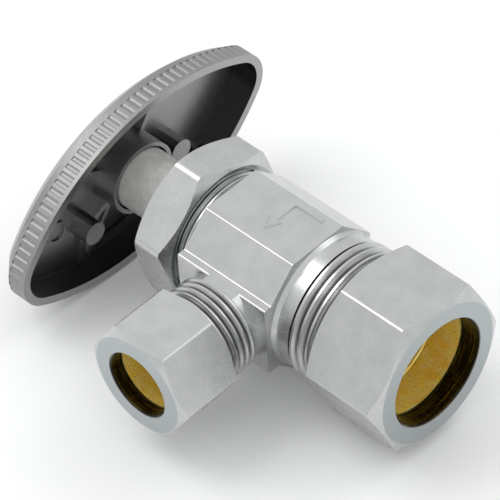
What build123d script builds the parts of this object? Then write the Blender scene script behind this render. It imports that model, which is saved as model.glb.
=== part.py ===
from build123d import *
from math import atan2, cos, radians, sin, tan
import os

# Angle stop valve: compression inlet along +X, compression outlet along -Y, handle towards -X.
# The origin is the centre of the ledge inside the inlet where the supply pipe's end stops.
# All lengths are in millimetres. "Axial" places are counted from the point where the
# inlet's and the outlet's axes cross, outwards along the axis that the piece sits on.

# --- Pipes and fits -------------------------------------------------------------------------
inlet_tube_d = 15.875
outlet_tube_d = 9.525
socket_clearance = 0.08
ferrule_clearance = 0.10
mouth_clearance = 0.19
thread_clearance = 0.15
running_clearance = 0.10
face_gap = 0.05

# --- Body -----------------------------------------------------------------------------------
crossing_to_pipe_stop = 8.0
block_flats = 21.0
block_corner_cut = 5.8
block_far = 9.3
block_far_cut = 5.1
block_back = 8.6
block_front = 7.6
block_rounding = 0.28
pad_width = 12.0
pad_reach = 11.2
collar_wall = 1.9825
collar_shoulder = 0.7
collar_shoulder_rise = 0.3
collar_end = 10.4
inlet_end = 21.0
inlet_socket_wall = 2.28
inlet_pitch = 1.411
outlet_band_end = 12.4
outlet_band_wall = 1.7575
outlet_end = 22.2
outlet_stop = 14.0
outlet_socket_wall = 2.30
outlet_pitch = 1.058
neck_end = 14.6
neck_thread_d = 19.0
neck_pitch = 0.9
thread_depth_ratio = 0.54
thread_crest_ratio = 0.25
thread_lead_in = 0.4
seat_chamfer = 1.0
outlet_passage_d = 6.4

# --- Seat and stem --------------------------------------------------------------------------
seat_face = 3.0
seat_bore_d = 6.8
seat_lip_wall = 0.9
seat_lip_height = 0.7
stem_travel = 4.0
stem_pitch = 2.0
stem_thread_d = 11.0
stem_thread_root = 0.8
washer_thickness = 2.6
washer_side_gap = 0.95
washer_hole_d = 3.6
cup_length = 1.0
plug_length = 4.0
plug_d = 12.5
plug_wall = 0.4
o_ring_section = 1.2
o_ring_groove = 1.4
shaft_d = 9.4
drive_flats = 6.6
drive_clearance = 0.05

# --- Bonnet ---------------------------------------------------------------------------------
bonnet_flats = 21.4
bonnet_turn = -43.0
bonnet_start = 11.1
bonnet_wall = 2.0
bonnet_corner_rounding = 1.2
gasket_thickness = 1.0
gasket_land = 0.35

# --- Compression nuts and ferrules ----------------------------------------------------------
inlet_nut_wall = 0.6525
inlet_nut_turn = 54.6
inlet_nut_start = 15.2
inlet_nut_end = 28.35
inlet_lip = 3.0
inlet_ferrule_wall = 0.86
outlet_nut_wall = 0.5575
outlet_nut_turn = 57.2
outlet_nut_start = 17.5
outlet_nut_end = 28.0
outlet_lip = 1.85
outlet_ferrule_wall = 0.80
ferrule_seat_gap = 0.42
ferrule_tip = 0.30
nut_corner_rounding = 0.55
nut_chamfer_angle = 30.0
hexagon_half_side = 30.0
nut_face_ratio = 0.97
mouth_break = 0.25

# --- Handle ---------------------------------------------------------------------------------
handle_turn = 12.5
handle_rim = 26.7
handle_length = 48.6
handle_width = 25.2
handle_end_radius = 5.5
handle_end_ratio = 0.5
handle_taper = 1.1
handle_rim_wall = 1.25
handle_side_depth = 4.1
handle_floor_depth = 4.3
handle_bevel = 1.4
handle_crown = 1.1
handle_crown_inset = 6.5
knurl_start = 0.6
knurl_length = 2.4
knurl_pitch = 1.3
knurl_depth = 0.13
knurl_groove_width = 0.8
hub_d = 11.3
hub_recess = 0.4
hub_mouth_d = 10.1
hub_mouth_depth = 1.7
post_d = 3.6
left_post = (-10.0, 2.2)
right_post = (7.6, 2.6)
post_recess = 0.9
waist_angle = 42.0
waist_depth = 0.6
waist_inset = 1.6
rib_width = 0.9
hub_rib_recess = 2.5
wall_rib_recess = 3.6
wall_rib_across = 12.0
wall_rib_down = 8.6
bead_width = 0.7
bead_height = 0.45
mark_ring_d = 3.6
mark_ring_across = 13.9
mark_ring_width = 0.45
mark_ring_height = 0.3
screw_recess_d = 8.0
screw_recess_depth = 1.0
screw_web = 1.0

# --- Screws ---------------------------------------------------------------------------------
washer_screw_d = 3.0
washer_screw_head_d = 5.2
washer_screw_head = 1.4
washer_screw_reach = 5.0
handle_screw_d = 3.6
handle_screw_head_d = 6.6
handle_screw_head = 2.0
handle_screw_reach = 7.5
slot_width = 0.9
slot_depth = 0.7
screw_crown_ratio = 0.33
screw_clearance = 0.05

# --- Flow mark ------------------------------------------------------------------------------
mark_height = 0.25
mark_draft = 30.0
mark_line = 0.9
mark_reach = 5.2
mark_rise = 3.1
mark_head = 2.4

# --- Places worked out from the sizes above --------------------------------------------------
crossing = (-crossing_to_pipe_stop, 0, 0)
inlet_axis = Plane(origin=crossing, x_dir=(0, 1, 0), z_dir=(1, 0, 0))
handle_axis = Plane(origin=crossing, x_dir=(0, 1, 0), z_dir=(-1, 0, 0))
outlet_axis = Plane(origin=crossing, x_dir=(1, 0, 0), z_dir=(0, -1, 0))
handle_across = (0, cos(radians(handle_turn)), sin(radians(handle_turn)))
handle_plane = Plane(origin=crossing, x_dir=handle_across, z_dir=(-1, 0, 0))

inlet_socket_r = inlet_tube_d / 2 + socket_clearance
outlet_socket_r = outlet_tube_d / 2 + socket_clearance
inlet_thread_r = inlet_socket_r + inlet_socket_wall
outlet_thread_r = outlet_socket_r + outlet_socket_wall
inlet_nut_flats = 2 * (inlet_thread_r + thread_clearance + inlet_nut_wall)
outlet_nut_flats = 2 * (outlet_thread_r + thread_clearance + outlet_nut_wall)
collar_d = 2 * (inlet_socket_r + collar_wall)
outlet_band_d = 2 * (outlet_socket_r + outlet_band_wall)
neck_r = neck_thread_d / 2
block_half = block_flats / 2

stem_bore_r = stem_thread_d / 2 + thread_clearance
washer_d = 2 * (stem_bore_r - washer_side_gap)
plug_bore_r = plug_d / 2 + thread_clearance
washer_face = stem_travel - seat_face
stem_front = washer_face + washer_thickness + face_gap
cup_back = stem_front + cup_length
bonnet_inner = neck_end + gasket_thickness
plug_back = bonnet_inner - running_clearance
plug_front = plug_back - plug_length
plug_bore_start = plug_front - stem_travel
bonnet_end = bonnet_inner + bonnet_wall

handle_floor = handle_rim + handle_floor_depth
handle_side_end = handle_rim + handle_side_depth
handle_bevel_end = handle_side_end + handle_bevel
handle_front = handle_bevel_end + handle_crown
hub_mouth = handle_rim + hub_recess
drive_start = hub_mouth + hub_mouth_depth
screw_seat = handle_front - screw_recess_depth
drive_end = screw_seat - screw_web
drive_length = drive_end - drive_start


def lengthwise(base):
    """The plane that holds base's axis: across is its first direction, up is the axis."""
    return Plane(origin=base.origin, x_dir=base.x_dir, z_dir=-base.y_dir)


def turned(base, outline, mode=Mode.ADD):
    """Turn an outline of (radius, axial place) points about base's axis."""
    with BuildSketch(lengthwise(base)) as section:
        with BuildLine():
            Polyline(*outline, close=True)
        make_face()
    revolve(section.sketch, axis=Axis(base.origin, base.z_dir), mode=mode)


def ring(inner, outer, start, end):
    """The outline of a plain ring or, with inner 0, of a disc."""
    return [(inner, start), (outer, start), (outer, end), (inner, end)]


def thread(radius, start, end, pitch, depth_ratio=thread_depth_ratio):
    """Points along a thread's side, from start to end, with a tapered lead at the end."""
    depth = pitch * depth_ratio
    crest = pitch * thread_crest_ratio
    side = [(radius - depth, start)]
    turns = int((end - thread_lead_in - start) / pitch)
    for turn in range(turns):
        low = start + turn * pitch
        side += [(radius, low + (pitch - crest) / 2), (radius, low + (pitch + crest) / 2)]
        side += [(radius - depth, low + pitch)]
    side += [(radius - depth, end - thread_lead_in), (radius - depth - thread_lead_in / 2, end)]
    return side


def oval(length, width, end_radius, mode=Mode.ADD):
    """An oval of four tangent arcs, long across, drawn into the open sketch."""
    half, rise = length / 2, width / 2
    run = half - end_radius
    side_radius = (run**2 + rise**2 - end_radius**2) / (2 * (rise - end_radius))
    lean = atan2(run, side_radius - rise)
    join = (run + end_radius * sin(lean), end_radius * cos(lean))
    with BuildLine() as outline:
        ThreePointArc((-join[0], join[1]), (0, rise), join)
        ThreePointArc(join, (half, 0), (join[0], -join[1]))
        ThreePointArc((join[0], -join[1]), (0, -rise), (-join[0], -join[1]))
        ThreePointArc((-join[0], -join[1]), (-half, 0), (-join[0], join[1]))
    make_face(outline.edges(), mode=mode)


def finish(builder, name):
    """Name a finished piece and write it."""
    builder.part.label = name
    export_step(builder.part, f"parts/{name}.step")


os.makedirs("parts", exist_ok=True)

# --- Valve body -----------------------------------------------------------------------------
with BuildPart() as valve_body:
    with BuildSketch(inlet_axis.offset(-block_back)):
        with Locations(((block_far - block_half) / 2, 0)):
            Rectangle(block_half + block_far, block_flats)
        chamfer(vertices().group_by(Axis.Y)[0], block_corner_cut)
        chamfer(vertices().group_by(Axis.Y)[-1], block_far_cut)
    extrude(amount=block_back + block_front)
    with BuildSketch(outlet_axis):
        with Locations(((block_front - block_back) / 2, 0)):
            Rectangle(block_front + block_back, pad_width)
    extrude(amount=pad_reach)
    fillet(edges().filter_by(Axis.X), block_rounding)

    # Inlet side: a turned shoulder and a smooth collar, then the nut's thread.
    turned(inlet_axis, [(0, block_front), (collar_d / 2 + collar_shoulder_rise, block_front),
                        (collar_d / 2, block_front + collar_shoulder),
                        (collar_d / 2, collar_end), (0, collar_end)])
    inlet_side = thread(inlet_thread_r, collar_end, inlet_end, inlet_pitch)
    turned(inlet_axis, [(0, 0), (inlet_side[0][0], 0)] + inlet_side + [(0, inlet_end)])
    # Neck: the thread that the bonnet screws on.
    neck_side = thread(neck_r, block_back, neck_end, neck_pitch)
    turned(handle_axis, [(0, 0), (neck_side[0][0], 0)] + neck_side + [(0, neck_end)])
    # Outlet side: a smooth band with the pad's two flats, then the small nut's thread.
    with BuildSketch(outlet_axis):
        Circle(outlet_band_d / 2)
        Rectangle(outlet_band_d, pad_width, mode=Mode.INTERSECT)
    extrude(amount=outlet_band_end)
    outlet_side = thread(outlet_thread_r, outlet_band_end, outlet_end, outlet_pitch)
    turned(outlet_axis, [(0, outlet_band_end)] + outlet_side + [(0, outlet_end)])

    # Raised flow arrow on the top flat: in from the inlet, then round to the outlet.
    with BuildSketch(Plane(origin=(-crossing_to_pipe_stop, 0, block_half))):
        with BuildLine():
            Polyline((mark_reach, mark_rise), (0, mark_rise), (0, mark_head - mark_rise))
        trace(line_width=mark_line)
        Polygon((-mark_head / 2, mark_head - mark_rise), (0, -mark_rise),
                (mark_head / 2, mark_head - mark_rise), align=None)
    extrude(amount=mark_height, taper=mark_draft)

    # Water way: pipe socket with its ferrule seat, seat bore, stem bore and plug bore.
    turned(inlet_axis, [(0, crossing_to_pipe_stop), (inlet_socket_r, crossing_to_pipe_stop),
                        (inlet_socket_r, inlet_end - seat_chamfer),
                        (inlet_socket_r + seat_chamfer, inlet_end),
                        (0, inlet_end)], Mode.SUBTRACT)
    turned(inlet_axis, ring(0, seat_bore_d / 2, 0, crossing_to_pipe_stop), Mode.SUBTRACT)
    turned(inlet_axis, ring(0, stem_bore_r, -plug_bore_start, seat_face), Mode.SUBTRACT)
    turned(inlet_axis, ring(seat_bore_d / 2 + seat_lip_wall, stem_bore_r,
                            seat_face, seat_face + seat_lip_height), Mode.SUBTRACT)
    turned(handle_axis, ring(0, plug_bore_r, plug_bore_start, neck_end), Mode.SUBTRACT)
    turned(outlet_axis, ring(0, outlet_passage_d / 2, 0, outlet_stop), Mode.SUBTRACT)
    turned(outlet_axis, [(0, outlet_stop), (outlet_socket_r, outlet_stop),
                         (outlet_socket_r, outlet_end - seat_chamfer),
                         (outlet_socket_r + seat_chamfer, outlet_end),
                         (0, outlet_end)], Mode.SUBTRACT)
finish(valve_body, "valve_body")


def hexagon_bar(base, flats, turn, start, end, corner_rounding=nut_corner_rounding):
    """A hexagon bar with softly rounded corners and both ends turned to a chamfer."""
    with BuildSketch(base.offset(start)) as section:
        RegularPolygon(flats / 2, 6, major_radius=False, rotation=turn)
        fillet(vertices(), corner_rounding)
    extrude(section.sketch, amount=end - start)
    corner = flats / 2 / cos(radians(hexagon_half_side)) + nut_corner_rounding
    face = flats / 2 * nut_face_ratio
    drop = (corner - face) * tan(radians(nut_chamfer_angle))
    turned(base, [(0, start), (face, start), (corner, start + drop),
                  (corner, end - drop), (face, end), (0, end)], Mode.INTERSECT)


# --- Bonnet and its gasket ------------------------------------------------------------------
with BuildPart() as bonnet:
    hexagon_bar(handle_axis, bonnet_flats, bonnet_turn, bonnet_start, bonnet_end, bonnet_corner_rounding)
    turned(handle_axis, ring(0, neck_r + thread_clearance, bonnet_start, bonnet_inner), Mode.SUBTRACT)
    turned(handle_axis, ring(0, shaft_d / 2 + running_clearance, bonnet_inner, bonnet_end), Mode.SUBTRACT)
finish(bonnet, "bonnet")

with BuildPart() as bonnet_gasket:
    turned(handle_axis, ring(plug_bore_r + gasket_land, neck_r - gasket_land, neck_end, bonnet_inner))
finish(bonnet_gasket, "bonnet_gasket")


def compression_nut(base, flats, turn, start, end, lip, mouth_r, thread_r):
    """A hex nut bored for its thread, with an inner cone that leads to the mouth's lip."""
    hexagon_bar(base, flats, turn, start, end)
    bore_r = thread_r + thread_clearance
    lip_start = end - lip
    cone_start = lip_start - (bore_r - mouth_r)
    turned(base, [(0, start), (bore_r + mouth_break, start), (bore_r, start + mouth_break),
                  (bore_r, cone_start), (mouth_r, lip_start), (mouth_r, end - mouth_break),
                  (mouth_r + mouth_break, end), (0, end)], Mode.SUBTRACT)


def ferrule(base, tube_r, wall, start, end):
    """A sleeve that tapers at both ends to a narrow tip."""
    bore_r = tube_r + ferrule_clearance
    outer_r = bore_r + wall
    taper = wall - ferrule_tip
    turned(base, [(bore_r, start), (bore_r + ferrule_tip, start), (outer_r, start + taper),
                  (outer_r, end - taper), (bore_r + ferrule_tip, end), (bore_r, end)])


# --- Inlet nut and ferrule ------------------------------------------------------------------
inlet_mouth_r = inlet_tube_d / 2 + mouth_clearance
with BuildPart() as inlet_nut:
    compression_nut(inlet_axis, inlet_nut_flats, inlet_nut_turn, inlet_nut_start, inlet_nut_end,
                    inlet_lip, inlet_mouth_r, inlet_thread_r)
finish(inlet_nut, "inlet_nut")

with BuildPart() as inlet_ferrule:
    ferrule(inlet_axis, inlet_tube_d / 2, inlet_ferrule_wall,
            inlet_end - seat_chamfer + ferrule_seat_gap, inlet_nut_end - inlet_lip - ferrule_seat_gap)
finish(inlet_ferrule, "inlet_ferrule")

# --- Outlet nut and ferrule -----------------------------------------------------------------
outlet_mouth_r = outlet_tube_d / 2 + mouth_clearance
with BuildPart() as outlet_nut:
    compression_nut(outlet_axis, outlet_nut_flats, outlet_nut_turn, outlet_nut_start, outlet_nut_end,
                    outlet_lip, outlet_mouth_r, outlet_thread_r)
finish(outlet_nut, "outlet_nut")

with BuildPart() as outlet_ferrule:
    ferrule(outlet_axis, outlet_tube_d / 2, outlet_ferrule_wall,
            outlet_end - seat_chamfer + ferrule_seat_gap,
            outlet_nut_end - outlet_lip - ferrule_seat_gap)
finish(outlet_ferrule, "outlet_ferrule")

# --- Stem and its o-rings -------------------------------------------------------------------
groove_inner = plug_front + plug_wall
groove_outer = plug_back - plug_wall - o_ring_groove
groove_root = plug_d / 2 - o_ring_section
with BuildPart() as stem:
    turned(handle_axis, ring(0, washer_d / 2, stem_front, cup_back))
    stem_side = thread(stem_thread_d / 2, cup_back, plug_front, stem_pitch,
                       stem_thread_root / stem_pitch)
    turned(handle_axis, [(0, cup_back)] + stem_side[:-2] + [(stem_side[0][0], plug_front), (0, plug_front)])
    turned(handle_axis, ring(0, plug_d / 2, plug_front, plug_back))
    turned(handle_axis, ring(0, shaft_d / 2, plug_back, drive_start))
    with BuildSketch(handle_plane.offset(drive_start)):
        Rectangle(drive_flats, drive_flats)
    extrude(amount=drive_length)
    for groove in (groove_inner, groove_outer):
        turned(handle_axis, ring(groove_root, plug_d / 2, groove, groove + o_ring_groove), Mode.SUBTRACT)
    turned(handle_axis, ring(0, washer_screw_d / 2 + screw_clearance, stem_front,
                             stem_front + washer_screw_reach), Mode.SUBTRACT)
    turned(handle_axis, ring(0, handle_screw_d / 2 + screw_clearance, drive_end - handle_screw_reach,
                             drive_end), Mode.SUBTRACT)
finish(stem, "stem")

o_ring_centre_r = groove_root + o_ring_section / 2
for o_ring_name, groove in (("stem_o_ring_inner", groove_inner), ("stem_o_ring_outer", groove_outer)):
    with BuildPart() as o_ring:
        with BuildSketch(lengthwise(handle_axis)):
            with Locations((o_ring_centre_r, groove + o_ring_groove / 2)):
                Circle(o_ring_section / 2)
        revolve(axis=Axis(handle_axis.origin, handle_axis.z_dir))
    finish(o_ring, o_ring_name)

# --- Seat washer and its screw --------------------------------------------------------------
with BuildPart() as seat_washer:
    turned(handle_axis, ring(washer_hole_d / 2, washer_d / 2, washer_face, washer_face + washer_thickness))
finish(seat_washer, "seat_washer")


def slotted_screw(base, seat, head_d, head_height, shank_d, shank_length):
    """A pan head standing on the seat, with a driver slot, and a shank going in behind it.

    The base plane's axis points the way that the screw is driven."""
    top = seat - head_height
    shoulder = top + head_height / 2
    crown_r = head_d / 2 - head_height * screw_crown_ratio
    turned(base, [(0, top), (crown_r, top), (head_d / 2, shoulder),
                  (head_d / 2, seat), (shank_d / 2, seat), (shank_d / 2, seat + shank_length),
                  (0, seat + shank_length)])
    with BuildSketch(base.offset(top)) as slot:
        Rectangle(head_d, slot_width)
    extrude(slot.sketch, amount=slot_depth, mode=Mode.SUBTRACT)


with BuildPart() as washer_screw:
    slotted_screw(handle_axis, washer_face - face_gap, washer_screw_head_d, washer_screw_head,
                  washer_screw_d, washer_thickness + washer_screw_reach)
finish(washer_screw, "washer_screw")


# --- Handle ---------------------------------------------------------------------------------
knurl_end = handle_rim + knurl_start + knurl_length


def handle_outline(place, inset, end_inset=0.0):
    """The handle's oval at an axial place, brought in by inset, and more so at its two ends."""
    with BuildSketch(handle_plane.offset(place)) as outline:
        oval(handle_length - 2 * (inset + end_inset), handle_width - 2 * inset,
             max(handle_end_radius - inset, handle_end_radius * handle_end_ratio))
    return outline.sketch.face()


def dish_outline(inset=0.0, mode=Mode.ADD):
    """The oval of the dish inside the rim wall, drawn into the open sketch."""
    wall = handle_rim_wall + inset
    oval(handle_length - 2 * wall, handle_width - 2 * wall, handle_end_radius - wall, mode)


def cut_wedges(slopes):
    """Cut two wedges, from the hub's centre out to either side, from the open sketch."""
    for side in (1, -1):
        corners = [(side * handle_length * across, side * handle_length * up) for across, up in slopes]
        with BuildLine() as wedge:
            Polyline((0, 0), *corners, close=True)
        make_face(wedge.edges(), mode=Mode.SUBTRACT)


waist_run = cos(radians(waist_angle))
waist_rise = sin(radians(waist_angle))
end_wedge = [(waist_run, waist_rise), (waist_run, -waist_rise)]
side_wedge = [(waist_run, waist_rise), (-waist_run, waist_rise)]

with BuildPart() as handle:
    # Outer form: straight rim with the knurl, tapered ends, bevel and a low crown.
    extrude(handle_outline(handle_rim, 0), amount=knurl_start + knurl_length)
    loft([handle_outline(knurl_end, 0), handle_outline(handle_side_end, 0, handle_taper)], ruled=True)
    loft([handle_outline(handle_side_end, 0, handle_taper),
          handle_outline(handle_bevel_end, handle_bevel, handle_taper)], ruled=True)
    loft([handle_outline(handle_bevel_end, handle_bevel, handle_taper),
          handle_outline(handle_front, handle_crown_inset, handle_taper)], ruled=True)

    # Dish, with a slightly deeper floor in the two wedges beside the hub.
    with BuildSketch(handle_plane.offset(handle_rim)):
        dish_outline()
    extrude(amount=handle_floor_depth, mode=Mode.SUBTRACT)
    with BuildSketch(handle_plane.offset(handle_floor)):
        dish_outline(waist_inset)
        cut_wedges(end_wedge)
    extrude(amount=waist_depth, mode=Mode.SUBTRACT)

    # A raised bead round each end floor.
    with BuildSketch(handle_plane.offset(handle_floor)):
        dish_outline()
        cut_wedges(side_wedge)
        offset(amount=-bead_width, mode=Mode.SUBTRACT)
    extrude(amount=-bead_height)

    # Small raised ring, left by the mould, in one end floor.
    with BuildSketch(handle_plane.offset(handle_floor)):
        with Locations((-mark_ring_across, 0)):
            Circle(mark_ring_d / 2)
            Circle(mark_ring_d / 2 - mark_ring_width, mode=Mode.SUBTRACT)
    extrude(amount=-mark_ring_height)

    # Ejector posts, with a rib from the hub to each post and one from the post to the wall.
    for post, side in ((left_post, -1), (right_post, 1)):
        wall_end = (side * wall_rib_across, wall_rib_down)
        with BuildSketch(handle_plane.offset(handle_rim + post_recess)):
            with Locations(post):
                Circle(post_d / 2)
        extrude(amount=handle_floor_depth - post_recess)
        for start, end, recess in (((0, 0), post, hub_rib_recess), (post, wall_end, wall_rib_recess)):
            with BuildSketch(handle_plane.offset(handle_rim + recess)):
                with BuildLine():
                    Line(start, end)
                trace(line_width=rib_width)
            extrude(amount=handle_floor_depth - recess)

    # Hub: tube with a wide mouth for the stem's shaft, then a square hole for its drive.
    turned(handle_axis, ring(0, hub_d / 2, hub_mouth, handle_floor + waist_depth))
    turned(handle_axis, ring(0, hub_mouth_d / 2, hub_mouth, drive_start), Mode.SUBTRACT)
    with BuildSketch(handle_plane.offset(drive_start)):
        Rectangle(drive_flats + 2 * drive_clearance, drive_flats + 2 * drive_clearance)
    extrude(amount=drive_length, mode=Mode.SUBTRACT)
    turned(handle_axis, ring(0, handle_screw_d / 2 + screw_clearance, drive_end, screw_seat),
           Mode.SUBTRACT)
    turned(handle_axis, ring(0, screw_recess_d / 2, screw_seat, handle_front), Mode.SUBTRACT)

    # Knurl: fine straight grooves across the rim, evenly spaced round the oval.
    groove_r = (knurl_groove_width**2 / 4 + knurl_depth**2) / (2 * knurl_depth)
    groove_path = handle_outline(handle_rim + knurl_start, knurl_depth - groove_r).outer_wire()
    groove_count = round(groove_path.length / knurl_pitch)
    groove_points = [groove_path.position_at(index / groove_count) for index in range(groove_count)]
    with BuildSketch(handle_plane.offset(handle_rim + knurl_start)):
        with Locations(*[handle_plane.to_local_coords(point) for point in groove_points]):
            Circle(groove_r)
    extrude(amount=knurl_length, mode=Mode.SUBTRACT)
finish(handle, "handle")

with BuildPart() as handle_screw:
    slotted_screw(inlet_axis, -screw_seat, handle_screw_head_d, handle_screw_head,
                  handle_screw_d, screw_web + handle_screw_reach - face_gap)
finish(handle_screw, "handle_screw")
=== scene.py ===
# %% [markdown]
# # An angle stop valve in satin chrome
# The valve's shapes, fits and motion are already settled in the imported model. This lesson loads
# that model as a fixed frame and gives every piece the finish that the real one has: chrome
# plate over brass, a nickel plated die-cast handle, a moulded stem and bare brass sleeves.
# We keep the model's box now, and set the floor just below it.

# %% Load the frame
from math import cos, radians, sin

import bpy
from mathutils import Matrix, Vector


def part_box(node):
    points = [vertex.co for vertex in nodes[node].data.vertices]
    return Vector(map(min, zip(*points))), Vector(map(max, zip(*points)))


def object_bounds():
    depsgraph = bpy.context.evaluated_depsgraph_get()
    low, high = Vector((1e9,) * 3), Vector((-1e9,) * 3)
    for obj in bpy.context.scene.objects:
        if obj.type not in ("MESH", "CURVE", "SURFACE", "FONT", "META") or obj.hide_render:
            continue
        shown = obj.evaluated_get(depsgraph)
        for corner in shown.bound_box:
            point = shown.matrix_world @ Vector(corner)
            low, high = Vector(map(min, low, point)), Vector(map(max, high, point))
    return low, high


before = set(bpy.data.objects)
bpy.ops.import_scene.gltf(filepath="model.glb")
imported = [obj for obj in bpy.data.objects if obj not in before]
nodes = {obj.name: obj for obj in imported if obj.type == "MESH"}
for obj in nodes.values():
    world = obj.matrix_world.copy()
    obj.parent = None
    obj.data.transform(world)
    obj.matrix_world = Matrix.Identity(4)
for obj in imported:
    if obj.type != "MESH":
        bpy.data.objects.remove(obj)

cad_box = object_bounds()
print("pieces:", ", ".join(sorted(nodes)))

# %% [markdown]
# ## Where things are
# The inlet's axis is the frame's X axis, and the outlet's axis is parallel to -Y. The two cross
# inside the body. Masks in the materials are measured from these axes in millimetres, so we
# read the places from the pieces' boxes once and keep them here.

# %% Places read from the pieces
MM = 0.001


def middle(node, axis):
    low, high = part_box(node)
    return (low[axis] + high[axis]) / 2


def radius_of(node, axis):
    low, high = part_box(node)
    return (high[axis] - low[axis]) / 2 / MM


crossing = Vector((middle("outlet_nut", 0), 0, 0))
inlet_sleeve_r = radius_of("inlet_ferrule", 1)
outlet_sleeve_r = radius_of("outlet_ferrule", 0)
print("axes cross at x =", round(crossing.x / MM, 2), "mm")

# %% [markdown]
# ## The camera
# A long lens from well back keeps the valve's edges nearly parallel. It looks down on the valve
# from the side of its two nuts. The camera is placed by its bearing round the crossing point,
# its height above the floor and a small roll, and then slid a little to frame the valve.

# %% Camera
azimuth, elevation, roll = radians(47.2505), radians(45.6671), radians(-4.2667)
distance = 0.5201395
slide = Vector((-0.0045294, 0.0028034))
lens = 276.13

back = Vector((sin(azimuth) * cos(elevation), -cos(azimuth) * cos(elevation), sin(elevation)))
level = Vector((cos(azimuth), sin(azimuth), 0))
rise = back.cross(level)
right = level * cos(roll) + rise * sin(roll)
up = rise * cos(roll) - level * sin(roll)

camera_data = bpy.data.cameras.new("product_camera")
camera_data.lens = lens
camera_data.clip_start = 0.01
camera = bpy.data.objects.new("product_camera", camera_data)
camera.matrix_world = Matrix.Translation(
    crossing + back * distance + right * slide.x + up * slide.y
) @ Matrix((right, up, back)).transposed().to_4x4()
bpy.context.scene.collection.objects.link(camera)
bpy.context.scene.camera = camera
print("camera at", [round(value, 3) for value in camera.location])

# %% [markdown]
# ## A small language for finishes
# A finish is a network of shader nodes. Writing each node and link out by hand hides the idea,
# so we wrap a socket in a small class. Sums and products of sockets then read as ordinary
# Python, and each one adds its Math node. Everything else is made by one method, `node`.

# %% Sockets that can be added and multiplied
def set_stops(ramp, stops):
    """Give a colour ramp its stops: (place, colour) pairs."""
    while len(ramp.elements) > 1:
        ramp.elements.remove(ramp.elements[-1])
    for index, (place, colour) in enumerate(stops):
        element = ramp.elements[0] if index == 0 else ramp.elements.new(place)
        element.position = place
        element.color = (*colour, 1)


class Wire:
    """One output socket. Arithmetic on it adds Math nodes; give it colours only through mix."""

    def __init__(self, tree, socket):
        self.tree, self.socket = tree, socket

    def node(self, kind, settings=None, inputs=None, out=0):
        made = self.tree.nodes.new("ShaderNode" + kind)
        for key, value in (settings or {}).items():
            if key == "stops":
                set_stops(made.color_ramp, value)
            else:
                setattr(made, key, value)
        for key, value in (inputs or {}).items():
            if isinstance(value, Wire):
                self.tree.links.new(value.socket, made.inputs[key])
            else:
                made.inputs[key].default_value = value
        return Wire(self.tree, made.outputs[out])

    def math(self, operation, first, second=0.0):
        return self.node("Math", {"operation": operation}, {0: first, 1: second})

    def __add__(self, other):
        return self.math("ADD", self, other)

    def __radd__(self, other):
        return self.math("ADD", other, self)

    def __sub__(self, other):
        return self.math("SUBTRACT", self, other)

    def __rsub__(self, other):
        return self.math("SUBTRACT", other, self)

    def __mul__(self, other):
        return self.math("MULTIPLY", self, other)

    def __rmul__(self, other):
        return self.math("MULTIPLY", other, self)

    def __truediv__(self, other):
        return self.math("DIVIDE", self, other)

    def __rtruediv__(self, other):
        return self.math("DIVIDE", other, self)


class Finish(Wire):
    """A new material, with the tools that every finish here uses."""

    def __init__(self, name):
        self.material = bpy.data.materials.new(name)
        self.material.use_nodes = True
        super().__init__(self.material.node_tree, None)
        self.shader = self.tree.nodes["Principled BSDF"]
        place = self.node("TexCoord", out="Object")
        self.place = self.vector("SCALE", place, scale=1 / MM)
        parts = self.node("SeparateXYZ", inputs={0: self.place})
        self.x, self.y, self.z = (Wire(self.tree, parts.socket.node.outputs[axis]) for axis in "XYZ")

    def vector(self, operation, first, second=None, scale=None, out=0):
        inputs = {0: first}
        if second is not None:
            inputs[1] = second
        if scale is not None:
            inputs["Scale"] = scale
        return self.node("VectorMath", {"operation": operation}, inputs, out)

    def noise(self, per_mm, detail=3.0, roughness=0.55, stretch=(1, 1, 1), distortion=0.0):
        """Noise from 0 to 1 with a grain of about 1 / per_mm millimetres."""
        where = self.vector("MULTIPLY", self.place, stretch)
        return self.node("TexNoise", inputs={"Vector": where, "Scale": per_mm, "Detail": detail,
                                             "Roughness": roughness, "Distortion": distortion})

    def band(self, value, low, high, soft=0.1):
        """1 where value lies between low and high, with soft edges."""
        return self.step(value, low, soft) * (1 - self.step(value, high, soft))

    def step(self, value, edge, soft=0.1):
        """0 below the edge and 1 above it, over a soft width."""
        return self.node("MapRange", {"interpolation_type": "SMOOTHSTEP"},
                         {"Value": value, "From Min": edge - soft, "From Max": edge + soft})

    def between(self, factor, low, high):
        """A number that goes from low to high as factor goes from 0 to 1."""
        return self.node("MapRange", inputs={"Value": factor, "To Min": low, "To Max": high})

    def mix(self, factor, first, second, blend="MIX"):
        """Mix two colours."""
        colours = {key: (*value, 1) if isinstance(value, tuple) else value
                   for key, value in (("A", first), ("B", second))}
        made = self.tree.nodes.new("ShaderNodeMix")
        made.data_type, made.blend_type = "RGBA", blend
        places = {"Factor": made.inputs[0], "A": made.inputs[6], "B": made.inputs[7]}
        for key, value in (("Factor", factor), *colours.items()):
            if isinstance(value, Wire):
                self.tree.links.new(value.socket, places[key])
            else:
                places[key].default_value = value
        return Wire(self.tree, made.outputs[2])

    def distance(self, first, second):
        """The length of a two-part offset, as the distance from an axis."""
        return self.math("SQRT", first * first + second * second)

    def facing(self, axis):
        """How squarely the surface faces along an axis of the piece, from 0 to 1."""
        normal = self.node("TexCoord", out="Normal")
        return self.math("ABSOLUTE", self.vector("DOT_PRODUCT", normal, axis, out="Value"))

    def bump(self, height, depth_mm):
        """Turn a height from 0 to 1 into relief of that depth."""
        return self.node("Bump", inputs={"Height": height, "Distance": depth_mm * MM, "Strength": 1.0})

    def surface(self, **inputs):
        for name, value in inputs.items():
            socket = self.shader.inputs[name.replace("_", " ")]
            if isinstance(value, Wire):
                self.tree.links.new(value.socket, socket)
            elif isinstance(value, tuple):
                socket.default_value = (*value, 1)
            else:
                socket.default_value = value
        return self.material


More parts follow.
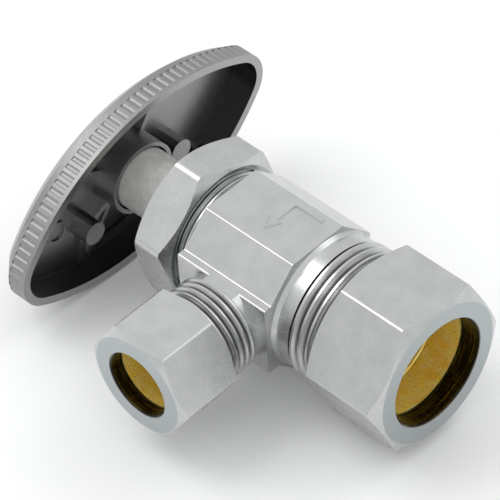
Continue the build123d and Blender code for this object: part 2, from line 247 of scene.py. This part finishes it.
def give(material, *names):
    """Put a finish on CAD pieces in place of the plain one."""
    for name in names:
        slots = nodes[name].data.materials
        slots.clear()
        slots.append(material)
    print(material.name, "on", ", ".join(names))


# %% [markdown]
# ## Light and floor
# Plated metal has almost no colour of its own: it shows what is round it. So the room matters
# more than the paint. The world is a plain white tent that is brightest overhead, where a soft
# box hangs, and a little darker at the horizon. The floor is matt and nearly white. It lies just
# below the valve, so that no face of the two falls in one plane.

# %% World
scene = bpy.context.scene
scene.view_settings.view_transform = "Standard"
world = bpy.data.worlds.new("studio")
scene.world = world
world.use_nodes = True
TENT_TINT = (0.985, 0.995, 1.0)
TENT_STEPS = ((0.0, 0.90), (0.30, 0.94), (0.65, 1.00), (0.88, 1.06), (1.0, 1.08))
TENT_STRENGTH = 0.92

sky = Wire(world.node_tree, None)
direction = sky.node("TexCoord", out="Generated")
height = sky.node("SeparateXYZ", inputs={0: direction}, out="Z")
stops = [(place, tuple(grey * part for part in TENT_TINT)) for place, grey in TENT_STEPS]
tent = sky.node("ValToRGB", {"stops": stops}, {0: height})
tent.socket.node.color_ramp.interpolation = "EASE"
background = sky.tree.nodes["Background"]
sky.tree.links.new(tent.socket, background.inputs["Color"])
background.inputs["Strength"].default_value = TENT_STRENGTH
print("tent brightness from horizon to zenith:", [grey for place, grey in TENT_STEPS])


def soft_box(name, bearing, height_angle, away, size, power):
    """A square area light that looks at the crossing point."""
    data = bpy.data.lights.new(name, "AREA")
    data.shape = "RECTANGLE"
    data.size, data.size_y = size
    data.energy = power
    lamp = bpy.data.objects.new(name, data)
    a, e = radians(bearing), radians(height_angle)
    ray = Vector((sin(a) * cos(e), -cos(a) * cos(e), sin(e)))
    lamp.location = crossing + ray * away
    lamp.rotation_euler = ray.to_track_quat("Z", "Y").to_euler()
    scene.collection.objects.link(lamp)
    print(name, power, "W")


soft_box("key_box", -60, 58, 0.6, (0.35, 0.35), 0.9)
soft_box("back_box", 160, 50, 0.6, (0.40, 0.25), 0.3)

floor_gap = 0.0003
floor_size = 6.0
bpy.ops.mesh.primitive_plane_add(size=floor_size, location=(0, 0, cad_box[0].z - floor_gap))
floor = bpy.context.object
floor.name = "studio_floor"

# %% [markdown]
# ## Satin chrome
# The plate follows the metal below it. A forged and tumbled body has a fine pebble grain. A
# hex bar has faint drawing lines along its length, and its sawn and faced end shows rings from the
# lathe and is smoother; its cooler, darker colour is a painted reflection of a dim bluish surrounding.
# Chrome itself reflects a little over half the light.

# %% Chrome plate
CHROME = (0.55, 0.556, 0.554)
CHROME_LIGHT = (0.60, 0.603, 0.60)
CHROME_DIM = (0.48, 0.487, 0.49)
# painted reflection: the darker bluish colour of hex end faces, for the dim surrounding they reflect
END_FACE_PAINTED_REFLECTION = (0.42, 0.455, 0.46)
BRASS = (0.98, 0.77, 0.14)
BRASS_PALE = (0.99, 0.87, 0.34)
BRASS_ORANGE = (0.93, 0.56, 0.07)
BORE_METAL = 0.55
# painted shade for the plated bores of the nuts and bonnet
BORE_PAINTED_SHADE = (0.018, 0.016, 0.013)
# painted shade for the roots of the threads
THREAD_ROOT_PAINTED_SHADE = (0.13, 0.13, 0.125)


def plate_colour(finish):
    """Chrome with cloudy, low-contrast variation."""
    cloud = finish.noise(0.35, detail=4)
    colour = finish.mix(finish.step(cloud, 0.5, 0.2), CHROME_DIM, CHROME_LIGHT)
    return finish.mix(0.55, colour, CHROME)


def brass_colour(finish):
    """Machined brass with tarnish: pale and golden clouds and orange spots."""
    cloud = finish.step(finish.noise(0.9, detail=4), 0.5, 0.16)
    spots = finish.step(finish.noise(0.40, detail=2), 0.60, 0.10)
    colour = finish.mix(cloud, BRASS, BRASS_PALE)
    return finish.mix(spots * 0.5, colour, BRASS_ORANGE)


def hex_chrome(name, along, radius, mouth_r):
    """Chrome for a hex piece. along is its axis, radius its points' distance from it."""
    finish = Finish(name)
    out = radius(finish)
    end_face = finish.step(finish.facing(along), 0.93, 0.03)
    inside = 1 - finish.step(out, mouth_r, 0.12)
    grain = finish.noise(1.1, detail=3)
    stretch = tuple(0.12 if part else 1.0 for part in along)
    drawn = finish.noise(3.0, detail=3, stretch=stretch)
    across = tuple(1.0 if part else 0.03 for part in along)
    rings = finish.noise(5.0, detail=2, stretch=across)
    # painted reflection: end faces are mixed towards a darker bluish grey
    colour = finish.mix(end_face, plate_colour(finish), END_FACE_PAINTED_REFLECTION)
    # painted shade: inside the mouth the plate is painted near black, with faint ring streaks of
    # painted brass reflection
    painted_brass_reflection = finish.step(rings, 0.58, 0.06)
    painted_dark_bore = finish.mix(painted_brass_reflection * 0.12, BORE_PAINTED_SHADE, BRASS)
    colour = finish.mix(inside, colour, painted_dark_bore)
    rough = finish.between(grain, 0.20, 0.34) * (1 - end_face) + finish.between(grain, 0.16, 0.24) * end_face
    relief = grain * 0.4 + drawn * 0.6
    return finish.surface(Base_Color=colour, Metallic=1.0, Roughness=rough,
                          Normal=finish.bump(relief, 0.0025))


def from_inlet_axis(finish):
    return finish.distance(finish.y, finish.z)


def from_outlet_axis(finish):
    return finish.distance(finish.x - crossing.x / MM, finish.z)


LARGE_LIP_STEP = 0.55
SMALL_LIP_STEP = 0.45
STEM_HOLE_R = 4.9
inlet_mouth_r = inlet_sleeve_r - LARGE_LIP_STEP
outlet_mouth_r = outlet_sleeve_r - SMALL_LIP_STEP
give(hex_chrome("chrome_large_nut", (1, 0, 0), from_inlet_axis, inlet_mouth_r), "inlet_nut")
give(hex_chrome("chrome_small_nut", (0, 1, 0), from_outlet_axis, outlet_mouth_r), "outlet_nut")
give(hex_chrome("chrome_bonnet_hex", (1, 0, 0), from_inlet_axis, STEM_HOLE_R), "bonnet")

# %% [markdown]
# ## The body
# Outside it is the same plate, with a stronger pebble from the forging. Inside, the plating
# bath barely reaches, so the pipe sockets and water ways are bare brass. One material does
# both: a mask is 1 near the two axes, where only bores are, and mixes in the brass. Three more
# masks are 1 at the roots of the threads, where a dark grey is mixed in as painted shade. Radii are in
# millimetres from an axis, and the X and Y places are where each region begins.

# %% Body
INLET_BORE_R, OUTLET_BORE_R, CORE_R = 9.15, 5.95, 6.5
BLOCK_FRONT_X, PAD_Y = -1.0, -9.0
INLET_GROOVE_R, NECK_GROOVE_R, OUTLET_GROOVE_R = 9.85, 9.25, 6.85
INLET_THREAD_X, NECK_THREAD_X, OUTLET_THREAD_Y = 2.4, -16.7, -12.5


def body_chrome():
    """Plate outside, brass in the bores, and painted shade deep in the three threads."""
    finish = Finish("chrome_forged_body")
    from_inlet, from_outlet = from_inlet_axis(finish), from_outlet_axis(finish)
    near_inlet = 1 - finish.step(from_inlet, INLET_BORE_R, 0.05)
    near_outlet = 1 - finish.step(from_outlet, OUTLET_BORE_R, 0.05)
    beyond_block = finish.step(finish.x, BLOCK_FRONT_X, 0.5)
    core = 1 - finish.step(from_inlet, CORE_R, 0.05)
    past_pad = 1 - finish.step(finish.y, PAD_Y, 0.5)
    bores = finish.math("MINIMUM", near_inlet * beyond_block + near_outlet * past_pad + core, 1.0)
    pebble = finish.noise(1.6, detail=5, roughness=0.6)
    fine = finish.noise(6.0, detail=3)
    cells = finish.node("TexVoronoi", inputs={"Vector": finish.place, "Scale": 0.55})
    pits = 1 - finish.step(cells, 0.07, 0.03)
    inlet_grooves = (1 - finish.step(from_inlet, INLET_GROOVE_R, 0.18)) * finish.step(
        finish.x, INLET_THREAD_X, 0.1)
    neck_grooves = (1 - finish.step(from_inlet, NECK_GROOVE_R, 0.12)) * (
        1 - finish.step(finish.x, NECK_THREAD_X, 0.1))
    outlet_grooves = (1 - finish.step(from_outlet, OUTLET_GROOVE_R, 0.15)) * (
        1 - finish.step(finish.y, OUTLET_THREAD_Y, 0.1))
    painted_thread_shade = finish.math("MINIMUM", inlet_grooves + neck_grooves + outlet_grooves, 1.0)
    colour = finish.mix(pits * 0.5, plate_colour(finish), CHROME_DIM)
    # painted shade: the thread roots are mixed towards dark grey
    colour = finish.mix(painted_thread_shade * 0.75, colour, THREAD_ROOT_PAINTED_SHADE)
    colour = finish.mix(bores, colour, brass_colour(finish))
    relief = pebble * 0.7 + fine * 0.3 - pits * 0.3
    return finish.surface(Base_Color=colour, Metallic=1 - bores * (1 - BORE_METAL),
                          Roughness=finish.between(fine, 0.22, 0.36), Normal=finish.bump(relief, 0.006))


give(body_chrome(), "valve_body")

# %% [markdown]
# ## Handle
# Die-cast zinc with a dull nickel plate. The rim's outer wall is painted darker and made rougher,
# a painted shade that tones down its reflections. The hollow back keeps the grain of the mould and
# has painted shade: dimmer on its floor and darkest on its inner walls.

# %% Nickel handle
NICKEL = (0.33, 0.33, 0.325)
NICKEL_LIGHT = (0.44, 0.44, 0.43)
NICKEL_GRAIN_AND_PAINTED_SHADE = (0.16, 0.16, 0.155)
NICKEL_PAINTED_WALL_SHADE = (0.045, 0.045, 0.045)
DISH_DEPTH = 5.2
rim_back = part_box("handle")[1].x / MM
floor_back = rim_back - DISH_DEPTH


def nickel():
    """Nickel with painted shade: dimmer on the hollow back's floor, darkest on its inner walls, and
    dimmer on the rim's outer wall.
    """
    finish = Finish("nickel_die_casting")
    cloud = finish.noise(0.5, detail=5, roughness=0.6)
    grain = finish.noise(4.0, detail=4, roughness=0.65)
    normal = finish.node("TexCoord", out="Normal")
    radial = finish.vector("MULTIPLY", finish.place, (0, 1, 1))
    outwards = finish.vector("DOT_PRODUCT", normal, finish.vector("NORMALIZE", radial), out="Value")
    upright = 1 - finish.step(finish.facing((1, 0, 0)), 0.6, 0.15)
    inwards = upright * (1 - finish.step(outwards, 0.0, 0.1))
    hollow = finish.band(finish.x, floor_back, rim_back - 0.3, 0.3)
    colour = finish.mix(finish.between(cloud, 0.2, 0.8), NICKEL, NICKEL_LIGHT)
    colour = finish.mix(finish.step(grain, 0.62, 0.1) * 0.35, colour, NICKEL_GRAIN_AND_PAINTED_SHADE)
    # painted shade: the floor of the hollow back is dimmed
    colour = finish.mix(hollow * (1 - upright) * 0.25, colour, NICKEL_GRAIN_AND_PAINTED_SHADE)
    # painted shade: the inner walls of the hollow back are painted nearly black
    colour = finish.mix(inwards * 0.9, colour, NICKEL_PAINTED_WALL_SHADE)
    rim = upright * finish.step(outwards, 0.0, 0.1)
    # painted shade: the rim's outer wall is dimmed towards dark nickel, and made rougher, to tone down
    # its reflections
    colour = finish.mix(rim * 0.30, colour, NICKEL_GRAIN_AND_PAINTED_SHADE)
    rough = finish.between(grain, 0.24, 0.36) + rim * 0.14
    return finish.surface(Base_Color=colour, Metallic=1.0, Roughness=rough,
                          Normal=finish.bump(grain * 0.5 + cloud * 0.5, 0.008))


give(nickel(), "handle")

# %% [markdown]
# ## Stem, sleeves, seals and screws
# The stem is moulded and matt, the sleeves are the same bare brass as the bores, and the seals
# hardly reflect at all. Most of these are hidden until the valve is taken apart.

# %% Small pieces
def acetal():
    finish = Finish("acetal_moulded")
    cloud = finish.noise(0.7, detail=4)
    speck = finish.noise(5.0, detail=3)
    colour = finish.mix(finish.step(cloud, 0.5, 0.25), (0.42, 0.42, 0.40), (0.52, 0.52, 0.495))
    return finish.surface(Base_Color=colour, Roughness=finish.between(speck, 0.45, 0.6),
                          Normal=finish.bump(speck, 0.01))


def bare_brass(name):
    finish = Finish(name)
    turned = finish.noise(6.0, detail=2)
    return finish.surface(Base_Color=brass_colour(finish), Metallic=BORE_METAL,
                          Roughness=finish.between(turned, 0.22, 0.36),
                          Normal=finish.bump(turned, 0.006))


def rubber():
    finish = Finish("black_rubber")
    bloom = finish.noise(1.5, detail=4)
    colour = finish.mix(bloom, (0.012, 0.012, 0.012), (0.035, 0.035, 0.035))
    return finish.surface(Base_Color=colour, Roughness=finish.between(bloom, 0.5, 0.75),
                          Normal=finish.bump(bloom, 0.01))


def fibre():
    finish = Finish("red_fibre")
    strands = finish.noise(3.0, detail=4, stretch=(1, 0.3, 1))
    colour = finish.mix(strands, (0.10, 0.02, 0.012), (0.22, 0.05, 0.03))
    return finish.surface(Base_Color=colour, Roughness=finish.between(strands, 0.7, 0.9),
                          Normal=finish.bump(strands, 0.02))


def zinc():
    finish = Finish("zinc_plated_screw")
    cloud = finish.noise(1.2, detail=4)
    colour = finish.mix(cloud, (0.42, 0.43, 0.45), (0.58, 0.59, 0.60))
    return finish.surface(Base_Color=colour, Metallic=1.0,
                          Roughness=finish.between(cloud, 0.25, 0.4), Normal=finish.bump(cloud, 0.008))


give(acetal(), "stem")
give(bare_brass("brass_sleeve"), "inlet_ferrule", "outlet_ferrule")
give(bare_brass("brass_screw"), "washer_screw")
give(rubber(), "stem_o_ring_inner", "stem_o_ring_outer", "seat_washer")
give(fibre(), "bonnet_gasket")
give(zinc(), "handle_screw")


def floor_paper():
    finish = Finish("studio_paper")
    tooth = finish.noise(0.02, detail=2)
    colour = finish.mix(tooth, (0.90, 0.90, 0.90), (0.93, 0.93, 0.93))
    return finish.surface(Base_Color=colour, Roughness=0.9)


floor.data.materials.append(floor_paper())
